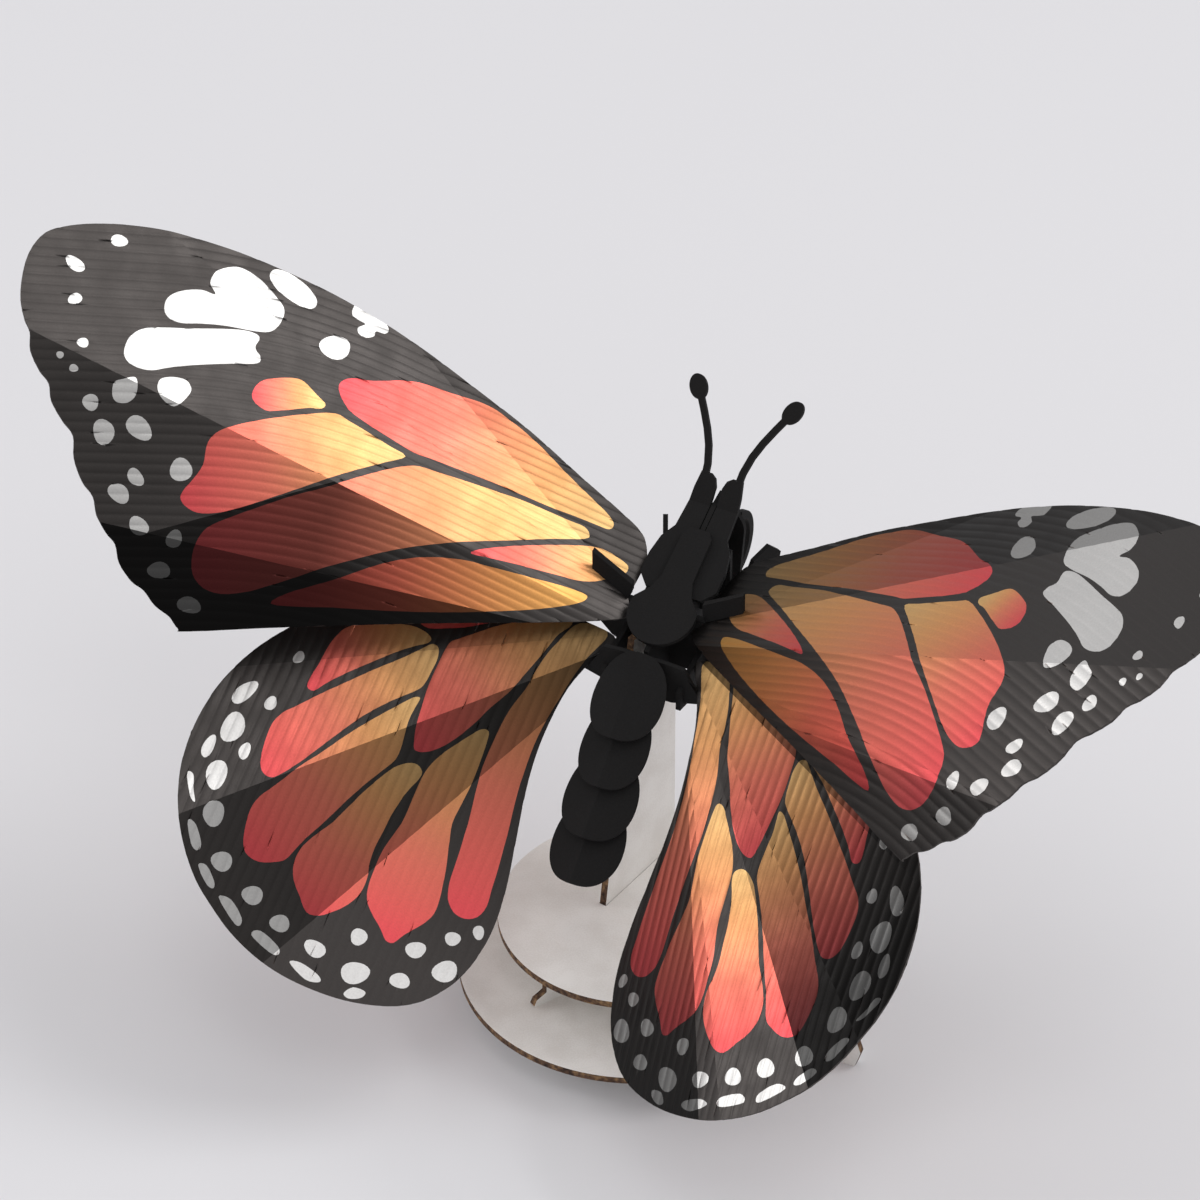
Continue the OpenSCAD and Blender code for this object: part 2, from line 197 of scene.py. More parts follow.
class Painter:
    """Builds node materials from the finishes, once each."""

    def __init__(self) -> None:
        """Starts with no material made."""
        self.made: Dict[str, Material] = {}

    @staticmethod
    def node(tree: NodeTree, kind: str, links: Optional[Dict[object, object]] = None,
             stops: Sequence[Tuple[float, str]] = (), **settings: object) -> Node:
        """Adds one node, sets it and links its inputs.

        Args:
            tree: node tree of a material.
            kind: type name of the node without its first part, ShaderNode.
            links: input name or number, with a value or the output socket that feeds it.
            stops: place and colour code of each stop of a colour ramp.
            settings: attributes of the node.

        Returns:
            The node.
        """
        made = tree.nodes.new(f"ShaderNode{kind}")
        for key, value in settings.items():
            setattr(made, key, value)
        for key, value in (links or {}).items():
            socket = made.inputs[key]
            if isinstance(value, NodeSocket):
                tree.links.new(value, socket)
            else:
                socket.default_value = value
        if stops:
            band = made.color_ramp.elements
            while len(band) < len(stops):
                band.new(0.5)
            for element, (place, code) in zip(band, stops):
                element.position, element.color = place, linear(code)
        return made

    def build(self, finish: CardFinish, attribute: Optional[str] = None) -> Material:
        """Makes the material of a finish.

        Args:
            finish: the finish to make.
            attribute: colour attribute that gives the ink colour, or None for the plain one.

        Returns:
            The material.
        """
        if finish.name in self.made:
            return self.made[finish.name]
        material = bpy.data.materials.new(finish.name)
        material.use_nodes = True
        tree = material.node_tree
        tree.nodes.clear()
        place = self.node(tree, "TexCoord").outputs["Object"]
        fibre = self.node(tree, "TexNoise", {
            "Vector": place, "Scale": 1 / (finish.fibre_mm * MM), "Detail": 3.0, "Roughness": 0.6})
        cloud = self.node(tree, "TexNoise", {
            "Vector": place, "Scale": 1 / (CLOUD_MM * MM), "Detail": 2.0})
        if attribute:
            ink = self.node(tree, "VertexColor", layer_name=attribute).outputs["Color"]
            tone = self.node(tree, "MapRange", {
                "Value": fibre.outputs["Fac"], **NOISE_SPAN,
                "To Min": INK_DARKEST, "To Max": INK_LIGHTEST}).outputs["Result"]
            colour = self.node(tree, "Mix", {
                "Factor": 1.0, MIX_A: ink, MIX_B: tone}, data_type="RGBA",
                blend_type="MULTIPLY").outputs[MIX_OUT]
        else:
            mixed = self.node(tree, "Math", {
                0: fibre.outputs["Fac"], 1: cloud.outputs["Fac"]}, operation="ADD")
            share = self.node(tree, "MapRange", {
                "Value": mixed.outputs[0], "From Min": BLEND_LOW,
                "From Max": BLEND_HIGH}).outputs["Result"]
            colour = self.node(tree, "ValToRGB", {"Fac": share}, [
                (0.0, finish.mottle), (1.0, finish.colour)]).outputs["Color"]
        if isinstance(finish, WhiteBoard):
            colour = self.scorched(tree, finish, colour, place)
        rough = self.node(tree, "MapRange", {
            "Value": cloud.outputs["Fac"], **NOISE_SPAN,
            "To Min": finish.roughness - finish.rough_spread,
            "To Max": finish.roughness + finish.rough_spread}).outputs["Result"]
        bump = self.node(tree, "Bump", {
            "Strength": 1.0, "Distance": finish.fibre_height_mm * MM,
            "Height": fibre.outputs["Fac"]})
        shader = self.node(tree, "BsdfPrincipled", {
            "Base Color": colour, "Roughness": rough, "Normal": bump.outputs["Normal"],
            "Metallic": finish.metallic, "Specular IOR Level": finish.specular})
        self.node(tree, "OutputMaterial", {"Surface": shader.outputs["BSDF"]})
        self.made[finish.name] = material
        return material

    def scorched(self, tree: NodeTree, finish: WhiteBoard,
                 face: NodeSocket, place: NodeSocket) -> NodeSocket:
        """Browns every surface that doesn't lie along the plate.

        The share is 1 - |n . p| for the surface normal n and the plate normal p, cut off
        sharply, so both faces stay white and all cut walls turn brown.

        Args:
            tree: node tree of the material.
            finish: the board, with its plate normal.
            face: colour of the white face.
            place: object coordinates.

        Returns:
            The mixed colour.
        """
        normal = self.node(tree, "TexCoord").outputs["Normal"]
        along = self.node(tree, "VectorMath", {
            0: normal, 1: finish.plate_normal}, operation="DOT_PRODUCT").outputs["Value"]
        size = self.node(tree, "Math", {0: along}, operation="ABSOLUTE").outputs[0]
        edge = self.node(tree, "Math", {0: size, 1: FACE_COSINE},
                         operation="LESS_THAN").outputs[0]
        streak = self.node(tree, "TexNoise", {
            "Vector": place, "Scale": 1 / (STREAK_MM * MM), "Detail": 2.0}).outputs["Fac"]
        brown = self.node(tree, "ValToRGB", {"Fac": streak}, [
            (0.32, finish.scorch_dark), (0.5, finish.scorch),
            (0.68, finish.scorch_light)]).outputs["Color"]
        return self.node(tree, "Mix", {"Factor": edge, MIX_A: face, MIX_B: brown},
                         data_type="RGBA").outputs[MIX_OUT]


# Flat pattern of the wings

@dataclass(frozen=True)
class Cell:
    """One coloured field of the print, from its outer end to its end near the root."""

    outer: Point
    inner: Point
    points: Tuple[Point, ...]
    stops: Tuple[str, str, str, str] = ("ff5f66", "ff8a72", "ffb878", "ffd08a")


@dataclass(frozen=True)
class Spot:
    """One white spot: centre, half axes and turn in degrees."""

    x: float
    y: float
    a: float
    b: float
    turn: float = 0.0


@dataclass(frozen=True)
class Facet:
    """One flat field between creases, as a chain of folds and sides.

    limits holds (crease, side) pairs, side 1 for the side toward the front margin. folds holds
    (crease, degrees) pairs, applied from the last to the first.
    """

    limits: Limits
    folds: Tuple[Tuple[Crease, float], ...] = ()


@dataclass(frozen=True)
class PaintedShadeZone:
    """One field of painted shade and painted highlight on the sheet, with its brightness near the
    root and at the zone's reach.

    The brightness is set to agree with the photograph, because lamps alone don't give
    the contrast between the facets. limits is as in Facet.
    """

    limits: Limits
    near: float
    far: float
    reach: float = 100.0


@dataclass(frozen=True)
class WingPattern:
    """Everything that the flat sheet of one wing carries."""

    name: str
    at: Triple
    turn: Triple
    outline: Tuple[Point, ...]
    creases: Tuple[Crease, ...]
    facets: Tuple[Facet, ...]
    cells: Tuple[Cell, ...]
    fields: Tuple[Tuple[Point, ...], ...]
    spots: Tuple[Spot, ...]
    # Painted shade and painted highlight of each facet, for each side
    painted_shade_zones: Dict[Side, Tuple[PaintedShadeZone, ...]]
    # Lines where the painted shade changes, kept as mesh edges
    painted_shade_lines: Tuple[Crease, ...]
    rib_slope: Tuple[float, float, float, float] = (0.0, 1.0, 0.0, 0.0)
    rib_turn: float = 0.0
    pitch: float = 2.0
    relief: float = 0.075
    thickness: float = 0.45


FORE_MID = (64, 35.5, 29.5)
FORE_HIND = (60, 12.3, 15.8)
FORE_FRONT = (60, 63.5, 43.5)
FORE_ROOT = (18.1, 37.7, 56.9)
HIND_MID = (43.7, -20.5, -23.3)
HIND_TAIL = (52.8, -53.5, -43)
HIND_FRONT = (59.8, -6.4, -7.1)

# Folds that two facets share, in degrees
FORE_MID_FOLD = (FORE_MID, 11.1)
FORE_FRONT_FOLD = (FORE_FRONT, -3.0)
HIND_MID_FOLD = (HIND_MID, -7.6)

# Facets between the creases
FORE_BASE = Facet(((FORE_FRONT, -1), (FORE_MID, 1)))
FORE_TOP = Facet(((FORE_FRONT, 1), (FORE_ROOT, -1)), (FORE_FRONT_FOLD,))
FORE_CORNER = Facet(((FORE_FRONT, 1), (FORE_ROOT, 1)), (FORE_FRONT_FOLD, (FORE_ROOT, 6.0)))
FORE_MIDDLE = Facet(((FORE_MID, -1), (FORE_HIND, 1)), (FORE_MID_FOLD,))
FORE_REAR = Facet(((FORE_MID, -1), (FORE_HIND, -1)), (FORE_MID_FOLD, (FORE_HIND, 12.7)))
HIND_BASE = Facet(((HIND_MID, -1), (HIND_TAIL, 1)))
HIND_SIDE = Facet(((HIND_MID, 1), (HIND_FRONT, -1)), (HIND_MID_FOLD,))
HIND_TOP = Facet(((HIND_MID, 1), (HIND_FRONT, 1)), (HIND_MID_FOLD, (HIND_FRONT, 2.0)))
HIND_REAR = Facet(((HIND_TAIL, -1),), ((HIND_TAIL, 9.1),))

# Lines where the painted shade and painted highlight change between creases, not folds: a
# painted shade line of the left forewing, the painted shade of the right forewing's hind strip,
# and both sides of the right hindwing's painted highlight band
FORE_PAINTED_SHADE_LINE = (60, 28.2, -13)
FORE_SHADE = (62, 10.6, 17.5)
HIND_PAINTED_HIGHLIGHT_FRONT = (50, -32.5, -31.5)
HIND_PAINTED_HIGHLIGHT_TAIL = (40, -46.5, -47)

FORE_OUTLINE = (
    (0, 0), (-3, 4.5), (-7.5, 11), (-8.5, 14), (-8, 18), (-4, 23), (2.5, 30), (11.5, 40),
    (21, 49), (31.5, 58.5), (41, 65.5), (50, 71), (58, 75), (66, 78.5), (76, 81.8),
    (83, 83.4), (91, 84.2), (98, 84), (103.5, 82.8), (106.5, 80.6), (108.8, 77.2),
    (110.4, 72.6), (111.2, 68), (110.9, 63.8), (110.2, 61.2), (110.4, 57.6), (109, 53.6),
    (107.4, 51), (107.2, 47.6), (105.4, 43.6), (103.6, 40.6), (103.8, 36.2), (102.6, 31.6),
    (100.8, 28.6), (100.4, 25), (98.9, 21.6), (97.2, 19.2), (96.6, 15.6), (94.4, 12),
    (92.2, 10.2), (90.2, 7.2), (87.6, 5), (86, 2.6), (84, 2), (64, 1.8), (40, 1.2))

FORE_CELLS = (
    Cell((50, 49), (-2, 19), (
        (50, 49), (48.8, 51), (46, 51.4), (42.5, 50.9), (37, 51.1), (33, 50.7), (28, 49),
        (24.5, 47.8), (21, 46.5), (18, 44.8), (15.5, 42.6), (12.3, 39.5), (9.3, 36),
        (6.3, 32), (2.8, 27.6), (0.3, 24.6), (-2, 21.6), (-2.5, 19.8), (-1.4, 18.9),
        (1, 19.9), (5, 21.8), (10.5, 24.2), (16, 26.8), (22, 29.5), (28, 32), (33.3, 34.3),
        (36.5, 35.6), (40.5, 38.3), (45, 41.6), (48.6, 44.8))),
    Cell((68, 47), (54, 46), (
        (67.8, 47.1), (67, 49.5), (65, 51), (61.8, 51.5), (58, 51.3), (56.2, 50),
        (54.6, 47.8), (53.2, 46.1), (54, 45), (57, 45.1), (62.5, 44.6), (65.6, 44.7))),
    Cell((84, 28), (39, 35), (
        (51.5, 44), (49, 42.4), (45, 39.7), (41.4, 37), (38.4, 34.8), (42.6, 33.6), (49, 32),
        (55.6, 30.1), (62, 28.2), (68.3, 26.4), (73, 25.1), (77.2, 24.4), (81, 24.6),
        (83.2, 26), (84, 27.7), (83, 29.4), (81, 31.4), (79, 34), (78.2, 37), (77.2, 39),
        (75, 40.6), (70, 42), (64.4, 43), (57.5, 43.8))),
    Cell((83, 14), (3, 18), (
        (37, 32.8), (33.6, 31.9), (28.3, 30), (22, 27.7), (16, 25.5), (10.6, 23), (6, 20.8),
        (3.6, 19.6), (2.8, 18), (4, 17.1), (11.6, 17.1), (19, 16.9), (26, 16.8), (33, 16.6),
        (40, 16.1), (45.6, 15.3), (51, 14.2), (57.4, 12.8), (63.5, 11.1), (69, 9.7),
        (73, 8.9), (77.5, 8.8), (80.8, 10.1), (82.7, 12.8), (82.6, 16.5), (81.3, 19.5),
        (79.3, 21.6), (76, 23), (70, 24.9), (62, 27.2), (55, 28.7), (48, 30.7),
        (41.5, 32.3))),
    Cell((28, 14), (-4, 11), (
        (28, 14.3), (26, 15.1), (19, 15.7), (10.5, 15.8), (3, 15.5), (-0.3, 14.4),
        (-2.8, 12.5), (-4.1, 11), (-3.3, 9.6), (-1, 9), (2, 8.2), (6, 8.1), (11.5, 9.6),
        (17.5, 11.4), (23.7, 13.1))),
    Cell((68, 6.5), (6, 5), (
        (68, 6.5), (65, 8.2), (59.6, 9.5), (54, 10.8), (48.6, 12.4), (43, 13.6), (37, 14),
        (30, 13.2), (23.3, 11.2), (16.6, 9.1), (10.4, 7.2), (6.3, 5.7), (5.5, 4.7),
        (7, 3.7), (11, 3.1), (18, 2.7), (27.7, 2.8), (38, 3.3), (48, 4.2), (56, 5.1),
        (62.5, 5.6)), ("f65257", "f67a60", "f8aa64", "f8bc68")))

FORE_FIELDS = (
    ((83, 66), (82, 68.5), (79, 70), (75, 70.2), (72.3, 69.3), (73, 71.7), (71.5, 74.2),
     (68.5, 75.2), (66, 75), (63, 73), (60.5, 69.8), (58.8, 66.8), (59, 64.8),
     (60.6, 62.4), (62.6, 61.3), (66, 61.5), (71, 62.5), (76, 63), (80, 63.1),
     (82.3, 64.2)),
    ((92.2, 57), (90.8, 60), (88, 61.8), (84, 62.2), (78, 62), (72, 61.9), (67.5, 61.6),
     (65, 60.7), (64.7, 59.6), (65.6, 58.4), (65.6, 57.2), (65, 56), (65.8, 54.6),
     (71, 54.5), (79, 54.2), (84, 53.6), (87.2, 53.1), (90, 53.7), (91.8, 55.1)),
    ((60.6, 73.4), (59.5, 74.9), (57.3, 74.6), (54.5, 72.8), (52.3, 70.2), (51.6, 68),
     (52.6, 66.6), (54.7, 66.8), (57.6, 68.6), (59.8, 71)),
    ((44.4, 66.6), (43.2, 68), (41.5, 67.5), (40, 66), (38, 63.6), (37.6, 62), (38.6, 61.3),
     (40.3, 61.8), (40.9, 60.7), (42.6, 60.4), (44, 61.3), (43.9, 62.6), (42.3, 63.3),
     (43.7, 64.3), (44.6, 65.2)),
    ((86.5, 49.3), (85.7, 51.2), (83.2, 51.7), (80.6, 51), (79.8, 49.2), (81, 47.3),
     (83.6, 45.6), (85.8, 47.2)),
    ((95.4, 48.4), (94.8, 50.8), (92.8, 51.4), (90.6, 51.6), (90.4, 49.6), (91.2, 47.6),
     (93, 46.6), (94.8, 47)))

FORE_SPOTS = (
    (49.4, 58.1, 3.2, 2.6), (90.2, 80.6, 1.7, 1.3), (99.6, 75.6, 2.1, 1.4, 45),
    (100.5, 68.2, 1.5, 1.1, -30), (100.1, 58.9, 1.2, 1.0), (104.8, 56.5, 0.7, 0.7),
    (102.4, 53.8, 0.9, 0.75), (99.7, 47, 1.6, 1.6), (97.7, 41.1, 2.1, 2.5),
    (90.8, 41.6, 2.9, 2.0, 45), (83.4, 33.1, 2.2, 2.3), (92.3, 32, 1.9, 1.4, 60),
    (95.8, 29, 2.3, 1.7, 40), (92.5, 22.5, 2.1, 1.6, 40),
    (85.9, 19.7, 1.8, 1.5, -50), (89.1, 13.9, 2.2, 1.6, 10),
    (83.7, 7, 2.3, 1.6, 20))

FOREWING = WingPattern(
    name="forewing",
    at=(8.4, 7.9, UPPER_TOP + 65.1),
    turn=(32.2, -12.4, -44.6),
    outline=FORE_OUTLINE,
    creases=(FORE_MID, FORE_HIND, FORE_FRONT, FORE_ROOT),
    facets=(FORE_BASE, FORE_TOP, FORE_CORNER, FORE_MIDDLE, FORE_REAR),
    cells=FORE_CELLS,
    fields=FORE_FIELDS,
    spots=tuple(Spot(*row) for row in FORE_SPOTS),
    rib_slope=(3.5, 82, 28, 32),
    # Lines where the painted shade changes between creases
    painted_shade_lines=(FORE_PAINTED_SHADE_LINE, FORE_SHADE),
    # Painted shade and painted highlight of each facet and side, multiplied into the ink colour
    painted_shade_zones={
        Side.LEFT: (
            PaintedShadeZone(FORE_BASE.limits, 0.84, 0.84),
            PaintedShadeZone(FORE_TOP.limits, 0.84, 0.84),
            PaintedShadeZone(FORE_CORNER.limits, 0.62, 0.62),
            PaintedShadeZone(FORE_MIDDLE.limits + ((FORE_PAINTED_SHADE_LINE, 1),), 0.8, 0.4),
            PaintedShadeZone(FORE_MIDDLE.limits + ((FORE_PAINTED_SHADE_LINE, -1),), 0.8, 0.1, 60),
            PaintedShadeZone(FORE_REAR.limits, 0.15, 0.045, 60)),
        Side.RIGHT: (
            PaintedShadeZone(FORE_BASE.limits, 0.4, 0.65),
            PaintedShadeZone(FORE_TOP.limits, 0.22, 0.31),
            PaintedShadeZone(FORE_CORNER.limits, 0.19, 0.22),
            PaintedShadeZone(((FORE_MID, -1), (FORE_SHADE, 1)), 0.12, 0.78),
            PaintedShadeZone(((FORE_MID, -1), (FORE_SHADE, -1)), 0.28, 0.25))},
)

HIND_OUTLINE = (
    (0, 0), (4, -3.8), (9, -10), (13.2, -19), (15.8, -28), (17.4, -38), (18.8, -47.6),
    (20.6, -55.4), (23.4, -61.8), (27.6, -67.4), (33, -71.2), (38, -72.8), (43.4, -73),
    (49.6, -72.2), (55.8, -70.4), (61.9, -67.8), (67.3, -64.4), (72.2, -60), (76, -55.2),
    (79.4, -50), (82, -43.4), (83.4, -36.4), (83.4, -29), (81.8, -21.8), (78.8, -15),
    (74.8, -9.2), (69, -3.6), (61, 1.5), (51, 5.6), (39, 7.6), (25, 7.4), (12, 5.2),
    (4, 2.6))

HIND_CELLS = (
    Cell((59, -11), (37, 0), (
        (59.6, -11.5), (58.8, -9.2), (57.5, -6.9), (55.8, -3.3), (54, -0.8), (52.3, 0.5),
        (50, 1.1), (44.3, 1.5), (40, 1.3), (37.2, 0.2), (35.9, -1.1), (36.6, -2.1),
        (38.6, -2.6), (42.5, -4), (46.6, -5.9), (51.8, -8.4), (55.9, -10.7), (58.2, -12.3))),
    Cell((68, -29), (35, -3), (
        (34.4, -3), (34.6, -5.3), (35.6, -7.6), (36.8, -10.1), (38.3, -11.5), (43.2, -13.8),
        (48.3, -16.8), (52.3, -19.9), (56.3, -23.2), (60.3, -26.5), (64.4, -29.3),
        (66.2, -29.6), (67.6, -28.4), (67.9, -26), (67.3, -22.8), (66, -19), (64, -16.8),
        (61.4, -15.4), (56.8, -12.8), (51.7, -10.2), (46.6, -7.6), (41.4, -5.2),
        (37.3, -3), (35.6, -2.2))),
    Cell((69, -45), (38, -13), (
        (37.6, -13), (38.4, -14.8), (39.6, -17.5), (40.5, -21.2), (41.2, -24), (42.6, -26),
        (46.7, -29.5), (50.7, -33.3), (54.7, -37.5), (58.7, -41.4), (60.6, -43.6),
        (62.2, -45.4), (64.2, -46), (67.3, -46.1), (69.6, -44.9), (70.5, -42.9),
        (70.3, -39.7), (69.4, -36), (67.7, -33.4), (64.8, -31.1), (60.3, -27.3),
        (56.3, -24.5), (51.2, -20.6), (46.1, -17.2), (42.1, -14.8), (39, -13))),
    Cell((58, -56), (38, -26), (
        (36.6, -27.4), (37.3, -29), (38.8, -30.7), (40.3, -32.8), (42.2, -36), (43.6, -39.2),
        (45.1, -42.4), (46, -45.5), (46.4, -48.7), (47.6, -51.4), (49.8, -53.6), (52.4, -55),
        (55.4, -56), (57.8, -55.4), (59.2, -52.4), (60.5, -49.3), (60.6, -46.1),
        (59.6, -43.5), (57.1, -40.8), (53.6, -38), (50.6, -34.8), (47.6, -31.6),
        (44.6, -28.8), (42.1, -26.8), (39.5, -25.8), (37.6, -26))),
    Cell((41, -60), (24, -19), (
        (24, -19), (24.3, -21.2), (25.4, -24.9), (26.8, -29), (28.7, -33.3), (30.3, -37),
        (30.7, -40.7), (31, -45), (31.4, -48.2), (32, -51.8), (33, -54.8), (35, -56.8),
        (38.5, -59), (40.6, -60.7), (42.2, -60.2), (43.3, -58), (45.2, -55), (46.2, -52.4),
        (46, -49.7), (45, -46.5), (43.5, -42.8), (41.5, -39.6), (39.6, -36.4),
        (38.2, -32.7), (36.5, -28.4), (34.8, -25.7), (32.3, -23.3), (28.7, -20.7),
        (25.6, -18.7))),
    Cell((38, -23), (9, 3), (
        (38.4, -22.5), (38.2, -19), (37.2, -14.8), (36, -10.4), (34.2, -5.8), (32.4, -2),
        (30.6, -1), (27, 0.4), (23, 1.9), (16, 3.6), (11, 4.5), (8.6, 3.6), (9, 2.2),
        (11.2, 0.6), (13.2, -2.1), (16.2, -6), (18.7, -9.2), (20.7, -11.5), (23.8, -14.3),
        (26.8, -17.5), (30.3, -20.6), (33.4, -22.6), (36, -23.5), (37.8, -23.4))),
    Cell((27, -55), (4, 2), (
        (11, -0.6), (13.2, -3.3), (15.2, -6.6), (17.2, -10.4), (20.1, -14.6), (22.4, -19.4),
        (24.4, -24.3), (25.8, -29.6), (26.9, -35.3), (28.1, -40.6), (29.3, -45),
        (30.3, -48.7), (30.4, -51.8), (29.2, -54.3), (27, -55.5), (24.5, -55.1),
        (22.8, -53), (22, -49.8), (20.9, -45.6), (19.5, -39.2), (18.2, -32.4), (16.9, -27),
        (15.1, -21.2), (13, -16.4), (10.6, -12.2), (8.6, -8.6), (6, -4.6), (3.2, -1.4),
        (1.6, 0.6), (2.4, 2.2), (5, 3), (8, 2.6))),
    Cell((32, 0), (34, 12), (
        (38.5, 2.2), (36.5, 0.9), (33, 1), (29.6, 1.3), (26, 2.1), (23, 3), (24, 4.4),
        (30, 5.6), (36, 5.4), (38.6, 4))))

HIND_FIELDS = (
    ((82, -29.4), (81.2, -33.8), (80.2, -35), (80.6, -32.4), (80.8, -29.6)),
    ((81.4, -38.6), (80.6, -43), (79.4, -44.4), (78.6, -43.2), (79.8, -39.4)),
    ((79, -47.2), (77.4, -50.6), (76, -51.6), (75.8, -50.2), (77.4, -47.2)),
    ((74.8, -53.2), (72, -57.6), (70.6, -58.6), (70.2, -57), (72.4, -53.6)),
    ((68.2, -60.2), (64.6, -63.4), (62.8, -63.8), (63, -62.2), (66.4, -59.4)),
    ((60.6, -65.2), (57.4, -68.4), (54.6, -68.8), (55, -67.4), (58.4, -65.2)),
    ((49.8, -70.8), (48, -69.6), (45.6, -70.4), (46.4, -71.6), (48.8, -71.8)))

HIND_SPOTS = (
    (61.5, -5.8, 1.3, 1.0, -50), (71.7, -13.1, 3.0, 1.5, -42),
    (66.5, -15.1, 1.5, 1.1, -65), (73.6, -20.1, 3.1, 2.2, -70),
    (78.1, -24, 2.4, 1.1, -65), (71.1, -24.7, 1.7, 1.1, -70),
    (76.3, -29.5, 3.0, 2.0, -75), (76.5, -37.1, 2.5, 2.1, -80),
    (74.5, -46.3, 2.1, 1.9), (68.3, -52.6, 2.1, 1.8), (62.8, -57.8, 1.9, 1.7),
    (55.8, -62.4, 2.2, 1.6, 30), (47.4, -59.8, 1.7, 1.6),
    (47.8, -66.8, 2.9, 2.1), (36.2, -61.9, 2.0, 1.6), (39, -68, 2.0, 1.5, 15),
    (29.1, -59.5, 1.6, 1.3), (30.3, -65.9, 2.6, 2.0, -20),
    (24.1, -58.1, 1.1, 1.4))

HINDWING = WingPattern(
    name="hindwing",
    at=(8.6, 7.8, UPPER_TOP + 60.2),
    turn=(46.8, -4.0, -27.5),
    outline=HIND_OUTLINE,
    creases=(HIND_MID, HIND_TAIL, HIND_FRONT),
    facets=(HIND_BASE, HIND_SIDE, HIND_TOP, HIND_REAR),
    cells=HIND_CELLS,
    fields=HIND_FIELDS,
    spots=tuple(Spot(*row) for row in HIND_SPOTS),
    rib_turn=111.0,
    # Lines where the painted shade and painted highlight change between creases
    painted_shade_lines=(HIND_PAINTED_HIGHLIGHT_FRONT, HIND_PAINTED_HIGHLIGHT_TAIL),
    # Painted shade and painted highlight of each facet and side, multiplied into the ink colour
    painted_shade_zones={
        Side.LEFT: (
            PaintedShadeZone(HIND_BASE.limits, 0.02, 0.4, 90),
            PaintedShadeZone(HIND_SIDE.limits, 0.1, 0.9, 90),
            PaintedShadeZone(HIND_TOP.limits, 0.1, 0.5, 80),
            PaintedShadeZone(HIND_REAR.limits, 0.0, 1.0, 75)),
        Side.RIGHT: (
            PaintedShadeZone(((HIND_PAINTED_HIGHLIGHT_FRONT, -1), (HIND_PAINTED_HIGHLIGHT_TAIL, 1)), 0.5, 0.78),
            PaintedShadeZone(((HIND_PAINTED_HIGHLIGHT_FRONT, 1), (HIND_FRONT, -1)), 0.65, 0.06, 80),
            PaintedShadeZone(((HIND_PAINTED_HIGHLIGHT_FRONT, 1), (HIND_FRONT, 1)), 0.12, 0.08),
            PaintedShadeZone(((HIND_PAINTED_HIGHLIGHT_TAIL, -1),), 0.4, 0.07))},
)

# How a cross section of one rib rises: share of the pitch and height as a share of the relief
RIB_SECTION = ((0.0, 0.0), (0.12, 0.55), (0.32, 0.95), (0.55, 1.0), (0.82, 0.7))


def rotation(turn: Sequence[float]) -> Array:
    """Rotation matrix Rz Ry Rx for angles in degrees, as the solid model turns its parts.

    Args:
        turn: angles about x, y and z.

    Returns:
        A 3 by 3 matrix.
    """
    x, y, z = (radians(t) for t in turn)
    rx = np.array([[1, 0, 0], [0, cos(x), -sin(x)], [0, sin(x), cos(x)]])
    ry = np.array([[cos(y), 0, sin(y)], [0, 1, 0], [-sin(y), 0, cos(y)]])
    rz = np.array([[cos(z), -sin(z), 0], [sin(z), cos(z), 0], [0, 0, 1]])
    return rz @ ry @ rx


def beside(points: Array, crease: Crease) -> Array:
    """Signed distance of flat points from a crease.

    The distance is -(x - cx) sin(a) + (y - cy) cos(a) for a crease through (cx, cy) at the
    angle a, positive toward the front margin.

    Args:
        points: flat points, one row each.
        crease: point and direction of the crease.

    Returns:
        One distance for each point.
    """
    a = radians(crease[2])
    return -(points[:, 0] - crease[0]) * sin(a) + (points[:, 1] - crease[1]) * cos(a)


def folded(points: Array, crease: Crease, degrees: float) -> Array:
    """Turns 3-D points about a crease line in the flat plane.

    With u = (cos a, sin a, 0) along the crease and v from the crease, the turned point is
    v cos t + (u x v) sin t + u (u . v)(1 - cos t).

    Args:
        points: points of the sheet, one row each.
        crease: point and direction of the crease.
        degrees: angle of the fold.

    Returns:
        The turned points.
    """
    a, t = radians(crease[2]), radians(degrees)
    u = np.array([cos(a), sin(a), 0.0])
    base = np.array([crease[0], crease[1], 0.0])
    v = points - base
    return base + v * cos(t) + np.cross(u, v) * sin(t) + np.outer(v @ u, u) * (1 - cos(t))


def inside(points: Array, loop: Array) -> Array:
    """Tells which flat points lie in a closed loop, by the crossings of a ray along x.

    Args:
        points: flat points, one row each.
        loop: corners of the loop.

    Returns:
        One truth value for each point.
    """
    x, y = points[:, 0], points[:, 1]
    found = np.zeros(len(points), bool)
    for (x0, y0), (x1, y1) in zip(loop, np.roll(loop, -1, axis=0)):
        crosses = (y0 > y) != (y1 > y)
        with np.errstate(divide="ignore", invalid="ignore"):
            at = x0 + (y - y0) * (x1 - x0) / (y1 - y0)
        found ^= crosses & (x < at)
    return found


def smooth_loop(points: Sequence[Point], steps: int = 5) -> Array:
    """Draws a closed curve through points.

    Each span from p1 to p2 is the cubic 0.5 (2 p1 + (p2 - p0) t + (2 p0 - 5 p1 + 4 p2 - p3) t^2
    + (3 p1 - p0 - 3 p2 + p3) t^3).

    Args:
        points: points on the curve.
        steps: pieces in each span.

    Returns:
        Points of the curve, one row each.
    """
    p1 = np.array(points, float)
    p0, p2, p3 = np.roll(p1, 1, 0), np.roll(p1, -1, 0), np.roll(p1, -2, 0)
    t = (np.arange(steps) / steps)[None, :, None]
    p0, p1, p2, p3 = (p[:, None, :] for p in (p0, p1, p2, p3))
    curve = 0.5 * (2 * p1 + (p2 - p0) * t + (2 * p0 - 5 * p1 + 4 * p2 - p3) * t ** 2
                   + (3 * p1 - p0 - 3 * p2 + p3) * t ** 3)
    return curve.reshape(-1, 2)


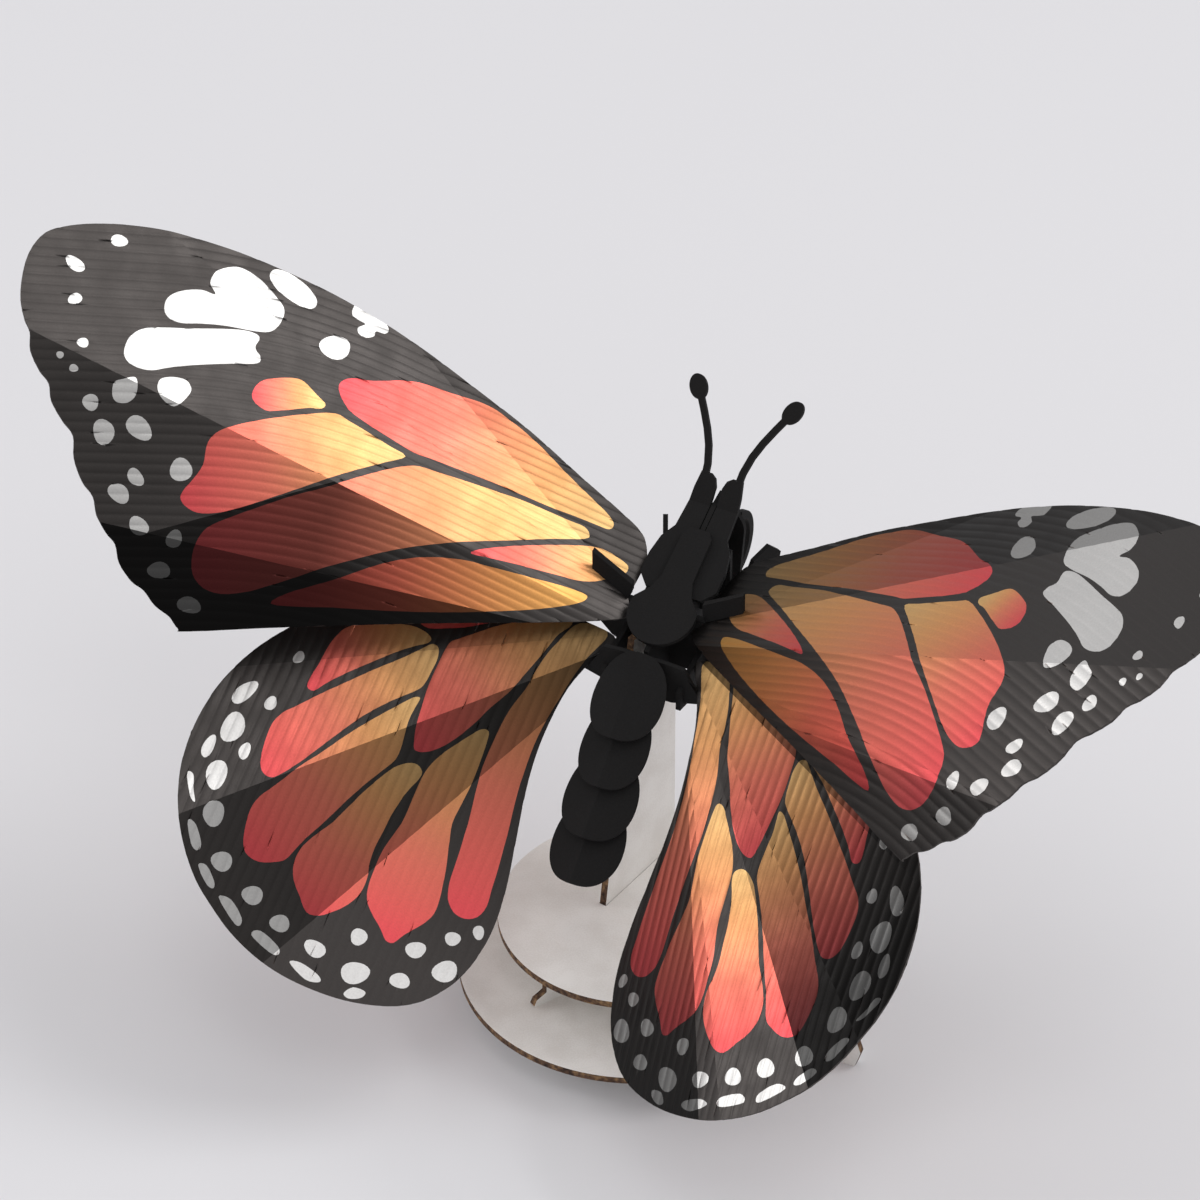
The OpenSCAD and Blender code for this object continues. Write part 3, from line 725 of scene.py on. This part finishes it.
def oval(spot: Spot, steps: int = 20) -> Array:
    """Loop of a spot, slightly squarer than an ellipse as the printed ones are.

    Args:
        spot: the spot.
        steps: corners of the loop.

    Returns:
        Corners, one row each.
    """
    t = np.arange(steps) * 2 * pi / steps
    r = 1 + 0.05 * np.cos(3 * t + spot.x) + 0.03 * np.cos(2 * t + spot.y)
    x, y = spot.a * r * np.cos(t), spot.b * r * np.sin(t)
    a = radians(spot.turn)
    return np.c_[spot.x + x * cos(a) - y * sin(a), spot.y + x * sin(a) + y * cos(a)]


def add_object(name: str, data: ID, thickness: float = 0.0,
               even: bool = False) -> Object:
    """Makes an object, puts it in the scene and gives a sheet its thickness, half on each side.

    Args:
        name: name of the object.
        data: its mesh, lamp or camera.
        thickness: thickness in metres, or zero for none.
        even: whether the thickness stays even at folds.

    Returns:
        The object.
    """
    made = bpy.data.objects.new(name, data)
    bpy.context.scene.collection.objects.link(made)
    if thickness:
        solid = made.modifiers.new("thickness", "SOLIDIFY")
        solid.thickness, solid.offset, solid.use_even_offset = thickness, 0.0, even
    return made


@dataclass
class SheetMesh:
    """Triangulated flat sheet with its print, ribs and creases, with its steps in millimetres."""

    pattern: WingPattern
    outline_step: float = 0.9
    rib_point_step: float = 3.0
    turned_rib_step: float = 5.0
    turned_rib_reach: float = 140.0
    crease_point_step: float = 2.0
    crease_reach: float = 160.0
    crease_overrun: float = 2.0
    on_crease: float = 0.01
    merge_distance: float = 1e-4
    smallest_area: float = 1e-7
    middle_of_ribs: float = 0.6
    rim_material: int = 3

    def __post_init__(self) -> None:
        """Draws the loops of the print and triangulates the sheet."""
        pattern = self.pattern
        self.outline = self.dense(smooth_loop(pattern.outline, 4), self.outline_step)
        self.cells = [smooth_loop(c.points, 3) for c in pattern.cells]
        self.whites = [smooth_loop(f, 4) for f in pattern.fields] + [oval(s) for s in pattern.spots]
        self.build()

    @staticmethod
    def dense(loop: Array, step: float) -> Array:
        """Splits the long edges of a loop.

        Args:
            loop: corners of the loop.
            step: longest edge to leave.

        Returns:
            The loop with more corners.
        """
        out: List[Array] = []
        for a, b in zip(loop, np.roll(loop, -1, 0)):
            count = max(1, int(np.ceil(np.linalg.norm(b - a) / step)))
            out.append(a + (b - a) * (np.arange(count) / count)[:, None])
        return np.vstack(out)

    def drop(self, x: Array) -> Array:
        """Rise of the ribs along the sheet, as the integral of their slope.

        The slope goes in a straight line from tan(s0) at x0 to tan(s1) at x1 and is constant
        outside, so its integral is a parabola between two straight lines.

        Args:
            x: places along the sheet.

        Returns:
            The rise at each place.
        """
        s0, x0, s1, x1 = self.pattern.rib_slope
        k0, k1 = tan(radians(s0)), tan(radians(s1))
        inner = np.clip(x0 - x, 0, x0 - x1)
        return -k0 * (x0 - x) - (k1 - k0) * inner ** 2 / 2 / (x0 - x1) \
            - (k1 - k0) * np.clip(x1 - x, 0, None)

    def phase(self, points: Array) -> Array:
        """Place of flat points across the ribs, in millimetres.

        Args:
            points: flat points, one row each.

        Returns:
            One length for each point.
        """
        if self.pattern.rib_turn:
            a = radians(self.pattern.rib_turn)
            return points[:, 0] * sin(a) - points[:, 1] * cos(a)
        return points[:, 1] - self.drop(points[:, 0])

    def rib_lines(self) -> List[Array]:
        """Lines along the ribs at every level of the rib section.

        Returns:
            One array of flat points for each line.
        """
        p = self.pattern
        lo, hi = self.outline.min(0), self.outline.max(0)
        across = self.phase(self.outline)
        levels = [p.pitch * (k + share) for k in range(int(across.min() // p.pitch),
                                                      int(across.max() // p.pitch) + 1)
                  for share, _ in RIB_SECTION]
        lines = []
        for level in levels:
            if p.rib_turn:
                a = radians(p.rib_turn)
                base = np.array([sin(a), -cos(a)]) * level
                t = np.arange(-self.turned_rib_reach, self.turned_rib_reach,
                              self.turned_rib_step)[:, None]
                line = base + t * np.array([cos(a), sin(a)])
            else:
                x = np.arange(lo[0] - 2, hi[0] + 4, self.rib_point_step)
                line = np.c_[x, level + self.drop(x)]
            keep = inside(line, self.outline)
            near = keep | np.roll(keep, 1) | np.roll(keep, -1)
            near[0] &= keep[:2].any()
            near[-1] &= keep[-2:].any()
            lines.extend(self.runs(line, near))
        return lines

    @staticmethod
    def runs(line: Array, near: Array) -> List[Array]:
        """Splits a line into its runs of two or more kept points."""
        cuts = np.flatnonzero(np.diff(np.r_[0, near.astype(int), 0]))
        return [line[a:b] for a, b in zip(cuts[::2], cuts[1::2]) if b - a > 1]

    def build(self) -> None:
        """Runs the constrained triangulation and sorts the faces into the printed fields.

        The area of a triangle is half the cross product of two of its sides, and a negative one
        is turned round.
        """
        p = self.pattern
        lines = [(loop, True) for loop in [self.outline] + self.cells + self.whites]
        lines += [(self.crease_line(crease), False) for crease in p.creases]
        # Lines where the painted shade changes are kept as mesh edges so that it stays crisp
        lines += [(self.crease_line(shade_line, whole=True), False) for shade_line in p.painted_shade_lines]
        lines += [(line, False) for line in self.rib_lines()]
        edges: List[Tuple[int, int]] = []
        first = 0
        for line, closed in lines:
            count = len(line)
            edges.extend((first + i, first + (i + 1) % count)
                         for i in range(count if closed else count - 1))
            first += count
        flat = np.vstack([line for line, _ in lines])
        verts, _, faces, _, _, _ = delaunay_2d_cdt(
            [Vector(q) for q in flat], edges, [], 0, self.merge_distance)
        self.flat = np.array([(v.x, v.y) for v in verts])
        tris = np.array([f for f in faces if len(f) == 3])
        middle = self.flat[tris].mean(1)
        a, b, c = (self.flat[tris[:, i]] for i in range(3))
        area = 0.5 * ((b[:, 0] - a[:, 0]) * (c[:, 1] - a[:, 1])
                      - (c[:, 0] - a[:, 0]) * (b[:, 1] - a[:, 1]))
        keep = inside(middle, self.outline) & (np.abs(area) > self.smallest_area)
        tris, middle, area = tris[keep], middle[keep], area[keep]
        tris[area < 0] = tris[area < 0][:, ::-1]
        self.tris = tris
        self.kind = np.zeros(len(tris), int)
        self.ink = np.tile(np.array(linear(BlackInkOnCard.colour)), (len(tris), 3, 1))
        for cell, loop in zip(p.cells, self.cells):
            mine = inside(middle, loop)
            self.kind[mine] = 1
            corners = self.flat[tris[mine]].reshape(-1, 2)
            self.ink[mine] = self.ink_colour(cell, corners).reshape(-1, 3, 4)
        for loop in self.whites:
            mine = inside(middle, loop)
            self.kind[mine] = 2
            self.ink[mine] = linear(BarePearlCard.colour)

    def painted_shade_factors(self, side: Side) -> Array:
        """Painted shade and painted highlight: brightness factor of the ink at every corner of
        every triangle.

        Args:
            side: side of the butterfly.

        Returns:
            One row of three factors for each triangle.
        """
        painted_shade_zones = self.pattern.painted_shade_zones[side]
        middle = self.flat[self.tris].mean(1)
        mine = np.argmin([self.beyond(middle, zone.limits) for zone in painted_shade_zones], axis=0)
        near, far, reach = (np.array([getattr(z, key) for z in painted_shade_zones])[mine][:, None]
                            for key in ("near", "far", "reach"))
        share = np.clip(np.linalg.norm(self.flat[self.tris], axis=2) / reach, 0, 1)
        return near + (far - near) * share

    @staticmethod
    def beyond(points: Array, limits: Limits) -> Array:
        """How far flat points lie outside a facet or zone.

        Args:
            points: flat points, one row each.
            limits: limits of the facet or zone.

        Returns:
            One distance for each point, zero inside.
        """
        short = np.zeros(len(points))
        for crease, way in limits:
            short = np.maximum(short, -beside(points, crease) * way)
        return short

    def crease_line(self, crease: Crease, whole: bool = False) -> Array:
        """Part of a crease that its facets share.

        Args:
            crease: point and direction of the crease.
            whole: whether the line runs across the whole sheet, whatever the facets.

        Returns:
            Points along the crease, on the facets that it bounds.
        """
        a = radians(crease[2])
        t = np.arange(-self.crease_reach, self.crease_reach, self.crease_point_step)[:, None]
        line = np.array(crease[:2]) + t * np.array([cos(a), sin(a)])
        keep = np.full(len(line), whole)
        for facet in self.pattern.facets:
            if any(limit[0] == crease for limit in facet.limits):
                ok = np.ones(len(line), bool)
                for other, side in facet.limits:
                    if other != crease:
                        ok &= beside(line, other) * side > -self.crease_overrun
                keep |= ok
        near = inside(line, self.outline)
        keep &= near | np.roll(near, 1) | np.roll(near, -1)
        runs = self.runs(line, keep)
        return max(runs, key=len) if runs else line[:2]

    @staticmethod
    def ink_colour(cell: Cell, points: Array) -> Array:
        """Colour of the ink at flat points of a cell.

        The share t = (p - outer) . (inner - outer) / |inner - outer|^2 picks between four
        stops, each mixed in scene linear light.

        Args:
            cell: the coloured field.
            points: flat points, one row each.

        Returns:
            Linear colours with alpha, one row each.
        """
        a, b = np.array(cell.outer), np.array(cell.inner)
        t = np.clip((points - a) @ (b - a) / ((b - a) @ (b - a)), 0, 1)
        stops = np.array([linear(code) for code in cell.stops])
        return np.stack([np.interp(t, STOP_PLACES, stops[:, i]) for i in range(4)], axis=1)

    def height(self) -> Array:
        """Height of the ribs over the middle of the sheet.

        Returns:
            One height in millimetres for each flat point.
        """
        p = self.pattern
        share = (self.phase(self.flat) / p.pitch) % 1.0
        at = [s for s, _ in RIB_SECTION] + [1.0]
        rise = [h for _, h in RIB_SECTION] + [0.0]
        return p.relief * (np.interp(share, at, rise) - self.middle_of_ribs)

    def shape(self, side: Side) -> Array:
        """Folds the sheet along its creases and turns it into place.

        Args:
            side: side of the butterfly.

        Returns:
            Points in metres in the shared frame, one row each.
        """
        p = self.pattern
        sheet = np.c_[self.flat, self.height()]
        done = np.full(len(sheet), np.inf)
        out = sheet.copy()
        for facet in p.facets:
            short = self.beyond(self.flat, facet.limits)
            mine = short < done
            part = sheet[mine]
            for crease, degrees in reversed(facet.folds):
                part = folded(part, crease, degrees)
            out[mine] = part
            done[mine] = short[mine]
        placed = out @ rotation(p.turn).T + np.array(p.at)
        placed[:, 0] *= side.value
        return placed * MM

    def crease_edges(self, mesh: Mesh, flat: Array) -> Array:
        """Finds the mesh edges that stay crisp: the creases and the outline.

        Args:
            mesh: mesh made from this sheet.
            flat: flat points of the mesh, one row each.

        Returns:
            One truth value for each edge.
        """
        ends = np.zeros(len(mesh.edges) * 2, int)
        mesh.edges.foreach_get("vertices", ends)
        ends = ends.reshape(-1, 2)
        crisp = np.zeros(len(ends), bool)
        for crease in self.pattern.creases:
            on = np.abs(beside(flat, crease)) < self.on_crease
            crisp |= on[ends].all(1)
        uses = np.zeros(len(ends), int)
        loops = np.zeros(len(mesh.loops), int)
        mesh.loops.foreach_get("edge_index", loops)
        np.add.at(uses, loops, 1)
        return crisp | (uses == 1)


@dataclass
class WingBuilder:
    """Makes the wing pieces from their flat sheets."""

    painter: Painter

    def __post_init__(self) -> None:
        """Prepares the inks and the cut edge, in the order of the sheets' kinds of print."""
        inks = (BlackInkOnCard(), ColourInkOnCard(), BarePearlCard())
        self.materials = [self.painter.build(ink, attribute="ink") for ink in inks]
        self.materials.append(self.painter.build(SheetEdge()))

    def build(self, sheet: SheetMesh, side: Side) -> Object:
        """Makes one wing.

        Args:
            sheet: the flat sheet.
            side: side of the butterfly.

        Returns:
            The wing piece.
        """
        pattern = sheet.pattern
        node = f"{pattern.name}_{side.name.lower()}"
        used, corners = np.unique(sheet.tris, return_inverse=True)
        corners = corners.reshape(-1, 3)
        colours = sheet.ink.copy()
        # Painted shade and painted highlight: the ink colours are scaled per facet and side to
        # stand in for how light falls on the folded sheet
        colours[:, :, :3] *= sheet.painted_shade_factors(side)[:, :, None]
        if side is Side.LEFT:
            corners, colours = corners[:, ::-1], colours[:, ::-1]
        mesh = bpy.data.meshes.new(f"{node}_sheet")
        mesh.from_pydata(sheet.shape(side)[used].tolist(), [], corners.tolist())
        mesh.update()
        mesh.polygons.foreach_set("material_index", sheet.kind.astype(np.int32))
        mesh.polygons.foreach_set("use_smooth", np.ones(len(mesh.polygons), bool))
        ink = mesh.color_attributes.new("ink", "FLOAT_COLOR", "CORNER")
        ink.data.foreach_set("color", colours.astype(np.float32).ravel())
        crisp = mesh.attributes.new("sharp_edge", "BOOLEAN", "EDGE")
        crisp.data.foreach_set("value", sheet.crease_edges(mesh, sheet.flat[used]))
        for material in self.materials:
            mesh.materials.append(material)
        piece = add_object(f"{node}_sheet", mesh, pattern.thickness * MM)
        piece.modifiers["thickness"].material_offset_rim = sheet.rim_material
        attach(piece, "root")
        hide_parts(node)
        LOG.info("%s: %d triangles", node, len(corners))
        return piece


# Body and stand

BODY_NODES = (
    "keel_plate", "thorax_plate", "side_plate_right", "side_plate_left", "fore_spar",
    "hind_spar", "collar_plate", "head_plate", "antenna_plate_right", "antenna_plate_left",
    "shoulder_right", "shoulder_left", "proboscis")

UPRIGHT_TURN = 8.9
LEG_TURNS = {"leg_front_right": 62.0, "leg_front_left": 118.0, "leg_tail_left": 242.0,
             "leg_tail_right": 298.0}


def plate_normals() -> Dict[str, Triple]:
    """Normal of every board of the stand.

    Returns:
        The unit normal of each node.
    """
    found = {"upper_disc": (0.0, 0.0, 1.0), "lower_disc": (0.0, 0.0, 1.0),
             "cross_foot": (0.0, 1.0, 0.0), "long_foot": (1.0, 0.0, 0.0)}
    a = radians(-UPRIGHT_TURN)
    found["upright_board"] = (cos(a), sin(a), 0.0)
    for name, turn in LEG_TURNS.items():
        b = radians(turn + 90)
        found[name] = (cos(b), sin(b), 0.0)
    return found


@dataclass(frozen=True)
class AbdomenPlate:
    """One rounded abdomen plate, folded along its middle: place and half width."""

    node: str
    y: float
    z: float
    half_width: float


ABDOMEN = (AbdomenPlate("abdomen_1", -5.6, 58.2, 7.7), AbdomenPlate("abdomen_2", -11.3, 50.2, 7.3),
           AbdomenPlate("abdomen_3", -17.6, 42.2, 7.9), AbdomenPlate("abdomen_4", -23.0, 34.8, 7.8))


@dataclass
class AbdomenBuilder:
    """Makes the abdomen plates, fuller at the sides than the plain ovals of the solids."""

    painter: Painter
    slope: float = 40.0
    droop: float = 20.0
    front: float = 9.5
    rear: float = 8.2
    fullness: float = 0.8
    thickness: float = 1.0
    bevel: float = 0.12
    steps: int = 28

    def build(self, plate: AbdomenPlate) -> Object:
        """Makes one plate: the half width at the angle t is w sin(t)^fullness.

        Args:
            plate: the plate.

        Returns:
            The piece.
        """
        t = np.linspace(0, pi, self.steps + 1)
        along = np.where(t < pi / 2, -self.rear, -self.front) * np.cos(t)
        wide = plate.half_width * np.clip(np.sin(t), 0, 1) ** self.fullness
        c, s = cos(radians(self.droop)), sin(radians(self.droop))
        right = np.c_[wide * c, along, -wide * s]
        left = (right * (-1, 1, 1))[1:-1]
        verts = np.vstack([right, left]) @ rotation((self.slope, 0, 0)).T
        verts = (verts + (0, plate.y, UPPER_TOP + plate.z)) * MM
        last = self.steps
        faces = [list(range(last + 1)), [last] + list(range(2 * last - 1, last, -1)) + [0]]
        mesh = bpy.data.meshes.new(f"{plate.node}_plate")
        mesh.from_pydata(verts.tolist(), [], faces)
        mesh.materials.append(self.painter.build(BlackCard()))
        piece = add_object(f"{plate.node}_plate", mesh, self.thickness * MM, even=True)
        edge = piece.modifiers.new("edge", "BEVEL")
        edge.width, edge.segments, edge.limit_method = self.bevel * MM, 2, "ANGLE"
        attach(piece, "root")
        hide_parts(plate.node)
        LOG.info("%s: %d corners", plate.node, len(verts))
        return piece


@dataclass
class FrameDresser:
    """Gives the solids that stay their card materials."""

    painter: Painter

    def dress(self, node: str, finish: CardFinish) -> None:
        """Sets the material of one solid.

        Args:
            node: name of the solid.
            finish: its finish.
        """
        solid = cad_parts[node]
        material = self.painter.build(finish)
        if not solid.material_slots:
            solid.data.materials.append(material)
        for slot in solid.material_slots:
            slot.material = material

    def dress_all(self) -> None:
        """Dresses the body and the stand."""
        for node in BODY_NODES:
            self.dress(node, BlackCard())
        for node, normal in plate_normals().items():
            self.dress(node, WhiteBoard(name=f"white_board_{node}", plate_normal=normal))
        LOG.info("dressed %d solids", len(BODY_NODES) + len(plate_normals()))


# Floor, light and camera

@dataclass(frozen=True)
class Softbox:
    """One soft white lamp: direction from the object, distance, size and power."""

    name: str
    toward: Triple
    distance: float
    size: Tuple[float, float]
    power: float


SOFTBOXES = (
    Softbox("overhead", (0.5, 0.32, 0.8), 1.6, (0.8, 0.8), 7.0),
    Softbox("left_side", (-0.9, -0.2, 0.38), 1.6, (0.9, 0.5), 5.0),
    Softbox("front_top", (0.22, -0.4, 0.89), 1.6, (0.5, 0.5), 2.0),
)


@dataclass
class Studio:
    """Floor, backdrop, lamps and camera."""

    centre: Triple = (0.0, 0.0, 0.07)
    half: float = 4.0
    lens_mm: float = 152.0
    sensor_mm: float = 36.0
    camera_at: Triple = (0.3379, -0.6867, 0.6919)
    camera_turn: Triple = (52.296, 0.138, 26.634)

    def floor(self) -> None:
        """Lays a pale floor that also fills the view behind the object."""
        mesh = bpy.data.meshes.new("floor")
        half = self.half
        mesh.from_pydata([(-half, -half, 0), (half, -half, 0), (half, half, 0),
                          (-half, half, 0)], [], [(0, 1, 2, 3)])
        material = bpy.data.materials.new("pale_paper_sweep")
        material.use_nodes = True
        shader = material.node_tree.nodes["Principled BSDF"]
        shader.inputs["Base Color"].default_value = linear("dddcde")
        shader.inputs["Roughness"].default_value = 0.9
        shader.inputs["Specular IOR Level"].default_value = 0.1
        mesh.materials.append(material)
        floor = add_object("floor", mesh)

    def world(self) -> None:
        """Fills the room with an even pale light."""
        world = bpy.data.worlds.new("room")
        bpy.context.scene.world = world
        world.use_nodes = True
        back = world.node_tree.nodes["Background"]
        back.inputs["Color"].default_value = linear("ececee")
        back.inputs["Strength"].default_value = 0.86

    def lamps(self) -> None:
        """Hangs the softboxes."""
        for box in SOFTBOXES:
            light = bpy.data.lights.new(box.name, "AREA")
            light.shape = "RECTANGLE"
            light.size, light.size_y = box.size
            light.energy = box.power
            lamp = add_object(box.name, light)
            way = Vector(box.toward).normalized()
            lamp.location = Vector(self.centre) + way * box.distance
            lamp.rotation_euler = way.to_track_quat("Z", "Y").to_euler()

    def camera(self) -> None:
        """Sets the camera of the photograph."""
        data = bpy.data.cameras.new("camera")
        data.lens, data.sensor_width = self.lens_mm, self.sensor_mm
        data.clip_start, data.clip_end = 0.05, 20.0
        camera = add_object("camera", data)
        camera.location = self.camera_at
        camera.rotation_euler = [radians(turn) for turn in self.camera_turn]
        bpy.context.scene.camera = camera

    def build(self) -> None:
        """Makes all of it."""
        self.floor()
        self.world()
        self.lamps()
        self.camera()
        bpy.context.scene.view_settings.view_transform = "Standard"


def main() -> None:
    """Builds the scene."""
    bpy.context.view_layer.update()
    painter = Painter()
    Studio().build()
    wings = WingBuilder(painter)
    for pattern in (FOREWING, HINDWING):
        sheet = SheetMesh(pattern)
        for side in Side:
            wings.build(sheet, side)
    abdomen = AbdomenBuilder(painter)
    for plate in ABDOMEN:
        abdomen.build(plate)
    FrameDresser(painter).dress_all()
    bpy.context.view_layer.update()


if __name__ == "__main__":
    main()
